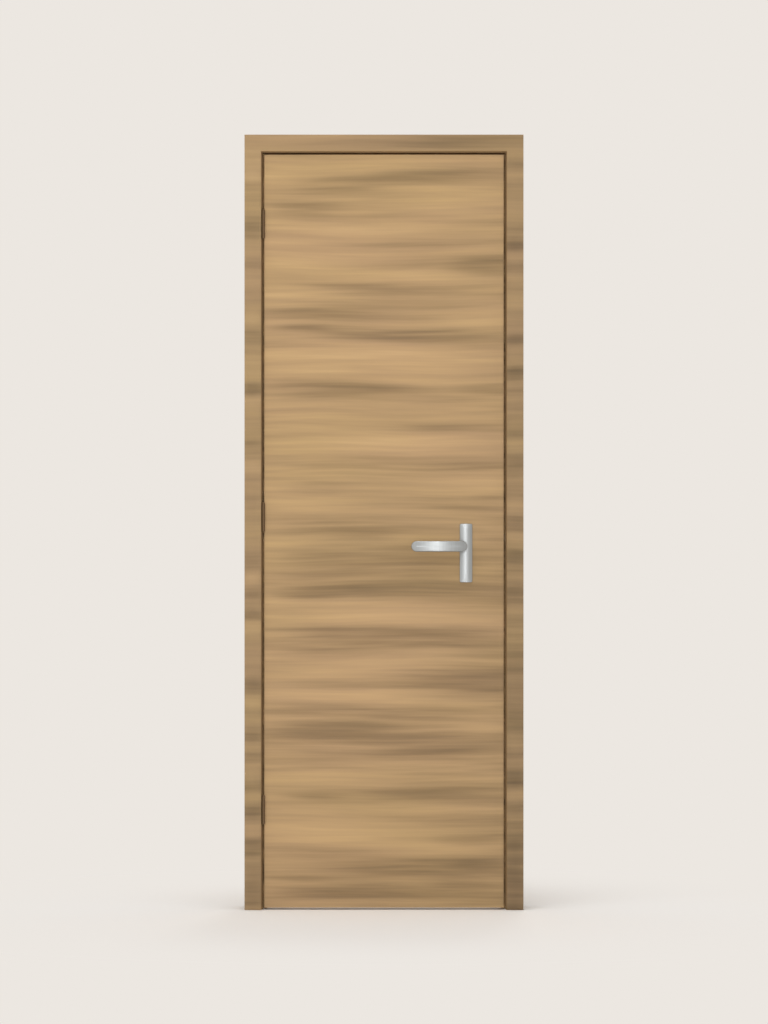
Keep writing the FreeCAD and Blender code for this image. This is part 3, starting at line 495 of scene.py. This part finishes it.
def metal(name, dark, light, rough, brush, grain=0.12, weight=1.0):
    """Brushed metal: fine lines along one axis, uneven gloss."""
    material, tree = new_material(name)
    spot = lie(tree)
    lines = tree.noise(tree.place(spot, size=brush), detail=3.0, rough=0.6)
    cloud = tree.noise(spot, size=CLOUD_SIZE, detail=2.0)
    base = tree.ramp(lines, ((BRUSH_SPAN[0], dark), (BRUSH_SPAN[1], light)))
    gloss = tree.math("MULTIPLY_ADD", lines, grain, rough - grain / 2 - CLOUD_GRAIN / 2)
    gloss = tree.math("MULTIPLY_ADD", cloud, CLOUD_GRAIN, gloss)
    tree.surface(base, gloss, tree.bump(lines, *METAL_BUMP), metal=weight)
    return material


handle_metal = metal("handle_metal", colour(153, 157, 159), colour(169, 172, 173),
                     rough=0.36, brush=(1500, 1500, 14), grain=0.08)
latch_metal = metal("latch_steel", colour(88, 70, 49), colour(110, 90, 65),
                    rough=0.45, brush=(1500, 1500, 20), weight=0.7)
bronze_metal = metal("hinge_bronze", colour(92, 71, 46), colour(112, 88, 58),
                     rough=0.50, brush=(900, 900, 30), weight=0.4)

SLOTS = {
    "leaf_face": leaf_wood,
    "frame_face": casing_wood,
    "jamb_wood": jamb_wood,
    "core_wood": core_material(),
    "core_paper": paper_material(),
    "hinge_bronze": bronze_metal,
    "handle_metal": handle_metal,
    "latch_steel": latch_metal,
}
for part in frame["record"]["subparts"]:
    item = nodes[part["node"]]
    if not item.material_slots:
        item.data.materials.append(None)
    for holder in item.material_slots:
        holder.material = SLOTS[part["material_slot"]]


# Handles: the same bars and plates as the solids, with their edges eased. The faces of the leaf
# are keyed by the side that they look to, front -1 and back 1. INSETS counts the rings in the rounded
# edge and over the face, SIDES the points along the sides, and TURNS those round a corner.
FACES = {-1: -0.050, 1: -0.010}
SPINDLE_X = 0.566
LEAST_CORNER = 0.0002
LEVER_LEFT = 0.423
LEVER_RIGHT = 0.5725
LEVER_Z = 0.980
LEVER_HALF = 0.01425
LEVER_END = 0.01415
LEVER_THICK = 0.011
LEVER_OUT = 0.042
LEVER_BOW = 0.300
LEVER_EASE = 0.0022
LEVER_CORE = 0.0004
LEVER_INSETS = (7, 5)
LEVER_SIDES = (2, 44)
LEVER_TURNS = 9
PLATE_MIDDLE = (0.571, 0.9615)
PLATE_HALF = (0.017, 0.079)
PLATE_CORNER = 0.004
PLATE_EDGE = 0.0024
PLATE_CROWN = 0.005
PLATE_EASE = 0.0009
PLATE_CORE = 0.0005
PLATE_INSETS = (6, 12)
PLATE_SIDES = (50, 2)
PLATE_TURNS = 6

# Neck: radius and reach from the face of the leaf. It widens where it meets the bar.
NECK_PROFILE = ((0.0062, -0.004), (0.0062, 0.030), (0.0063, 0.036), (0.0066, 0.0395),
                (0.0072, 0.0418), (0.0064, 0.0475))
NECK_SIDE = 0.0063
NECK_STEPS = 40


def rounded_ring(half, corner, inset, along, around):
    """Points of a rounded rectangle drawn in from its edge, in step from ring to ring."""
    wide = half[0] - inset
    high = half[1] - inset
    radius = min(max(corner - inset, LEAST_CORNER), wide, high)
    centres = ((1, -1, -90), (1, 1, 0), (-1, 1, 90), (-1, -1, 180))
    points = []
    for index, (side_x, side_z, start) in enumerate(centres):
        middle_x = side_x * (wide - radius)
        middle_z = side_z * (high - radius)
        for turn in range(around + 1):
            angle = math.radians(start + 90 * turn / around)
            points.append((middle_x + radius * math.cos(angle), middle_z + radius * math.sin(angle)))
        after = centres[(index + 1) % 4]
        here = points[-1]
        angle = math.radians(after[2])
        there = (after[0] * (wide - radius) + radius * math.cos(angle),
                 after[1] * (high - radius) + radius * math.sin(angle))
        count = along[index % 2]
        for turn in range(1, count):
            share = turn / count
            points.append((here[0] + (there[0] - here[0]) * share,
                           here[1] + (there[1] - here[1]) * share))
    return points


def stack(name, middle, rings):
    """A closed skin through rings of points (x, y, z about the middle)."""
    build = bmesh.new()
    loops = []
    for ring in rings:
        loops.append([build.verts.new((middle[0] + x, y, middle[1] + z)) for x, y, z in ring])
    count = len(loops[0])
    for first, second in zip(loops, loops[1:]):
        for index in range(count):
            after = (index + 1) % count
            build.faces.new((first[index], first[after], second[after], second[index]))
    build.faces.new(loops[0])
    build.faces.new(list(reversed(loops[-1])))
    bmesh.ops.recalc_face_normals(build, faces=build.faces)
    for face in build.faces:
        face.smooth = True
    mesh = bpy.data.meshes.new(name)
    build.to_mesh(mesh)
    build.free()
    item = bpy.data.objects.new(name, mesh)
    bpy.context.scene.collection.objects.link(item)
    return item


def eased(depth, radius):
    """How far a rounded edge has dropped at some depth in from the outline."""
    if depth >= radius:
        return 0.0
    return radius - math.sqrt(radius ** 2 - (radius - depth) ** 2)


def insets(radius, deepest, steps, inner):
    """Insets that crowd in the rounded edge and then spread over the face."""
    values = [radius * (1 - math.cos(math.pi / 2 * step / steps)) for step in range(steps + 1)]
    for step in range(1, inner + 1):
        values.append(radius + (deepest - radius) * step / inner)
    return values


def lever_piece(name, node, side):
    """The bowed bar: front and rear faces are the same rings, with the rounded edge drawn in."""
    half = ((LEVER_RIGHT - LEVER_LEFT) / 2, LEVER_HALF)
    chord = math.sqrt(LEVER_BOW ** 2 - half[0] ** 2)
    face = FACES[side]
    outer = []
    inner = []
    for inset in insets(LEVER_EASE, LEVER_HALF - LEVER_CORE, *LEVER_INSETS):
        drop = eased(inset, LEVER_EASE)
        front = []
        rear = []
        for x, z in rounded_ring(half, LEVER_END, inset, LEVER_SIDES, LEVER_TURNS):
            bow = LEVER_OUT + math.sqrt(LEVER_BOW ** 2 - x ** 2) - chord
            front.append((x, face + side * (bow + LEVER_THICK - drop), z))
            rear.append((x, face + side * (bow + drop), z))
        outer.append(front)
        inner.append(rear)
    rings = list(reversed(outer)) + inner
    item = stack(name, ((LEVER_LEFT + LEVER_RIGHT) / 2, LEVER_Z), rings)
    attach(item, "handle_set")
    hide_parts(node)
    item.data.materials.append(handle_metal)


def neck_piece(name, side):
    """The round neck, flared where it meets the bar."""
    rings = []
    for radius, reach in NECK_PROFILE:
        ring = []
        for step in range(NECK_STEPS):
            angle = 2 * math.pi * step / NECK_STEPS
            along = min(radius * math.cos(angle), NECK_SIDE)
            ring.append((along, FACES[side] + side * reach, radius * math.sin(angle)))
        rings.append(ring)
    item = stack(name, (SPINDLE_X, LEVER_Z), rings)
    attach(item, "handle_set")
    item.data.materials.append(handle_metal)


def plate_piece(name, node, side):
    """The long plate, crowned across its width, with a flat rear face."""
    crown = PLATE_CROWN - PLATE_EDGE
    radius = (PLATE_HALF[0] ** 2 + crown ** 2) / (2 * crown)
    face = FACES[side]
    rings = []
    for inset in reversed(insets(PLATE_EASE, PLATE_HALF[0] - PLATE_CORE, *PLATE_INSETS)):
        ring = []
        for x, z in rounded_ring(PLATE_HALF, PLATE_CORNER, inset, PLATE_SIDES, PLATE_TURNS):
            lift = PLATE_CROWN - radius + math.sqrt(radius ** 2 - x ** 2)
            ring.append((x, face + side * (lift - eased(inset, PLATE_EASE)), z))
        rings.append(ring)
    outline = rounded_ring(PLATE_HALF, PLATE_CORNER, 0.0, PLATE_SIDES, PLATE_TURNS)
    rings.append([(x, face, z) for x, z in outline])
    item = stack(name, PLATE_MIDDLE, rings)
    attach(item, "door")
    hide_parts(node)
    item.data.materials.append(handle_metal)


lever_piece("front_lever_bar", "front_lever", -1)
lever_piece("back_lever_bar", "back_lever", 1)
neck_piece("front_lever_neck", -1)
neck_piece("back_lever_neck", 1)
plate_piece("front_long_plate", "front_handle_plate", -1)
plate_piece("back_long_plate", "back_handle_plate", 1)


# Screws: low countersunk heads with a cross recess. Profile: share of the radius, share of the rise.
SCREW_STEPS = 36
SCREW_RISE = 0.09
SCREW_FOOT = 0.0002
SCREW_PROFILE = ((1.0, 0.0), (0.93, 0.55), (0.80, 0.86), (0.60, 1.0))
CROSS_ARM = 0.50
CROSS_SLIM = 0.13
CROSS_TAPER = 0.82
CROSS_DEPTH = 0.0001


def screw(name, spot, heading, radius, body, material, turn):
    """One head that stands a little proud of the surface at the spot and looks along the heading."""
    proud = radius * SCREW_RISE
    count = SCREW_STEPS
    build = bmesh.new()
    levels = [(radius, -SCREW_FOOT)]
    levels.extend((radius * share, proud * rise) for share, rise in SCREW_PROFILE)
    loops = []
    for reach, rise in levels:
        loop = []
        for step in range(count):
            angle = 2 * math.pi * step / count
            loop.append(build.verts.new((reach * math.cos(angle), reach * math.sin(angle), rise)))
        loops.append(loop)
    for first, second in zip(loops, loops[1:]):
        for index in range(count):
            after = (index + 1) % count
            build.faces.new((first[index], first[after], second[after], second[index]))
    top = []
    floor_ring = []
    arm = radius * CROSS_ARM
    slim = radius * CROSS_SLIM
    cross = ((arm, -slim), (arm, slim), (slim, slim), (slim, arm), (-slim, arm), (-slim, slim),
             (-arm, slim), (-arm, -slim), (-slim, -slim), (-slim, -arm), (slim, -arm), (slim, -slim))
    corners = len(cross)
    for x, y in cross:
        top.append(build.verts.new((x, y, proud)))
        floor_ring.append(build.verts.new((x * CROSS_TAPER, y * CROSS_TAPER, -CROSS_DEPTH)))
    for index in range(corners):
        after = (index + 1) % corners
        build.faces.new((top[index], top[after], floor_ring[after], floor_ring[index]))
    build.faces.new(floor_ring)
    rims = []
    for ring in (loops[-1], top):
        rims.extend(build.edges.get(pair) for pair in zip(ring, ring[1:] + ring[:1]))
    bmesh.ops.triangle_fill(build, edges=rims, use_beauty=True)
    build.faces.new(list(reversed(loops[0])))
    bmesh.ops.recalc_face_normals(build, faces=build.faces)
    aim = Vector(heading).to_track_quat("Z", "Y").to_matrix().to_4x4()
    matrix = Matrix.Translation(spot) @ aim @ Matrix.Rotation(turn, 4, "Z")
    bmesh.ops.transform(build, verts=build.verts, matrix=matrix)
    mesh = bpy.data.meshes.new(name)
    build.to_mesh(mesh)
    build.free()
    mesh.materials.append(material)
    item = bpy.data.objects.new(name, mesh)
    bpy.context.scene.collection.objects.link(item)
    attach(item, body)


# Feet of the hinges, and the screws of one plate as rise above its foot and y. FACE and EDGE are the
# planes in x that the heads sit on.
HINGES = {"low": 0.2305, "middle": 1.020, "top": 1.8095}
HINGE_SCREWS = ((0.010, -0.0300), (0.038, -0.0400), (0.066, -0.0300))
JAMB_FACE = 0.022
LEAF_EDGE = 0.0273
HINGE_SCREW_RADIUS = 0.0036
EDGE_SCREW_RADIUS = 0.0040
EDGE_SCREW_Y = -0.030
STRIKE_FACE = 0.6776
STRIKE_SCREWS = (0.9765, 1.0275)
FACEPLATE_FACE = 0.6713
FACEPLATE_HEADING = (1, 0.05, 0)
FACEPLATE_SCREWS = (0.9375, 1.0475)
BACK_PLATE_SCREWS = (0.8960, 1.0270)

# Turn of the cross from one head to the next, as screws are left by hand.
HINGE_TURN = 0.4
HINGE_TURN_STEP = 1.1
LEAF_TURN = 0.7
STRIKE_TURN_STEP = 0.5
FACEPLATE_TURN_STEP = 0.8
BACK_PLATE_TURN_STEP = 0.6

for spot_name, base in HINGES.items():
    for index, (rise, depth) in enumerate(HINGE_SCREWS, start=1):
        label = "%s_%d" % (spot_name, index)
        turn = HINGE_TURN + HINGE_TURN_STEP * index + base
        screw("hinge_jamb_screw_" + label, (JAMB_FACE, depth, base + rise), (1, 0, 0),
              HINGE_SCREW_RADIUS, "frame", bronze_metal, turn)
        screw("hinge_leaf_screw_" + label, (LEAF_EDGE, depth, base + rise), (-1, 0, 0),
              HINGE_SCREW_RADIUS, "door", bronze_metal, turn + LEAF_TURN)
for index, height in enumerate(STRIKE_SCREWS, start=1):
    screw("strike_screw_%d" % index, (STRIKE_FACE, EDGE_SCREW_Y, height), (-1, 0, 0),
          EDGE_SCREW_RADIUS, "frame", latch_metal, STRIKE_TURN_STEP * index)
for index, height in enumerate(FACEPLATE_SCREWS, start=1):
    screw("faceplate_screw_%d" % index, (FACEPLATE_FACE, EDGE_SCREW_Y, height), FACEPLATE_HEADING,
          EDGE_SCREW_RADIUS, "door", latch_metal, FACEPLATE_TURN_STEP * index)
for index, height in enumerate(BACK_PLATE_SCREWS, start=1):
    screw("back_plate_screw_%d" % index, (PLATE_MIDDLE[0], FACES[1] + PLATE_CROWN, height), (0, 1, 0),
          HINGE_SCREW_RADIUS, "door", handle_metal, BACK_PLATE_TURN_STEP * index)


# Floor and backdrop: the floor takes the door's shade and fades into the plain pale backdrop.
PALE = colour(236, 231, 225)
FLOOR_SHADE = colour(250, 247, 243)
FLOOR_HALF = 40
FLOOR_Z = -0.0005
FADE_MIDDLE = (0.35, -0.1, 0.0)
FADE_SIZE = (1.5, 1.25, 1.0)
FADE_START = 0.30
WORLD_FILL = (0.50, 0.49, 0.48, 1.0)


def seen_rays(tree):
    """1 for rays that see the stage straight, in gloss or through glass, and 0 for those that light."""
    path = tree.node("ShaderNodeLightPath")
    seen = tree.math("MAXIMUM", path.outputs["Is Camera Ray"], path.outputs["Is Glossy Ray"])
    return tree.math("MAXIMUM", seen, path.outputs["Is Transmission Ray"])


floor_mesh = bpy.data.meshes.new("floor")
corners = [(x * FLOOR_HALF, y * FLOOR_HALF, 0) for x, y in ((-1, -1), (1, -1), (1, 1), (-1, 1))]
floor_mesh.from_pydata(corners, [], [(0, 1, 2, 3)])
floor = bpy.data.objects.new("floor", floor_mesh)
bpy.context.scene.collection.objects.link(floor)
floor.location.z = FLOOR_Z
floor_material, tree = new_material("floor")
plain = tree.node("ShaderNodeBsdfDiffuse")
tree.feed(plain.inputs[0], FLOOR_SHADE)
glow = tree.node("ShaderNodeEmission")
tree.feed(glow.inputs[0], PALE)
away = tree.vector("LENGTH", tree.place(lie(tree), FADE_MIDDLE, size=FADE_SIZE, kind="TEXTURE"))
far = tree.spread(away, FADE_START, 1.0, smooth=True)
both = tree.node("ShaderNodeMixShader")
tree.feed(both.inputs[0], tree.math("MULTIPLY", seen_rays(tree), far))
tree.feed(both.inputs[1], plain.outputs[0])
tree.feed(both.inputs[2], glow.outputs[0])
tree.feed(tree.node("ShaderNodeOutputMaterial").inputs[0], both.outputs[0])
floor_mesh.materials.append(floor_material)

world = bpy.data.worlds.new("world")
bpy.context.scene.world = world
world.use_nodes = True
tree = Tree(world.node_tree)
sky = tree.node("ShaderNodeBackground")
tree.feed(sky.inputs[0], tree.mix(seen_rays(tree), WORLD_FILL, PALE))
tree.feed(tree.node("ShaderNodeOutputWorld").inputs[0], sky.outputs[0])


def lamp(name, kind, spot, target, energy, **settings):
    """A lamp at the spot that shines at the target."""
    data = bpy.data.lights.new(name, kind)
    data.energy = energy
    for key, value in settings.items():
        setattr(data, key, value)
    item = bpy.data.objects.new(name, data)
    item.location = spot
    item.rotation_euler = (Vector(target) - Vector(spot)).to_track_quat("-Z", "Y").to_euler()
    bpy.context.scene.collection.objects.link(item)
    return item


# Lamps: place, target and power. The broad one lights the wood and stays out of the gloss. The strip
# gives the metal its highlight, the overhead sun lights the floor, and the last lamp the back.
DOOR_MIDDLE = (0.35, 0, 1.0)
HANDLE_SIDE = (0.45, 0, 1.0)
DOOR_FOOT = (0.35, 0, 0)
lamp("key", "SUN", (-2.2, -5.0, 4.6), DOOR_MIDDLE, 0.55, angle=math.radians(60))
broad = lamp("broad", "AREA", (0.02, -10.9, 0.5), HANDLE_SIDE, 184, shape="RECTANGLE", size=1.5, size_y=2.0)
broad.visible_glossy = False
lamp("strip", "AREA", (0.02, -10.9, 1.3), HANDLE_SIDE, 120, shape="RECTANGLE", size=1.1, size_y=2.6)
lamp("overhead", "SUN", (0.35, -1.0, 8.0), DOOR_FOOT, 0.66, angle=math.radians(20))
lamp("back_fill", "AREA", (1.6, 8.5, 2.4), DOOR_MIDDLE, 190, shape="RECTANGLE", size=2.4, size_y=3.4)
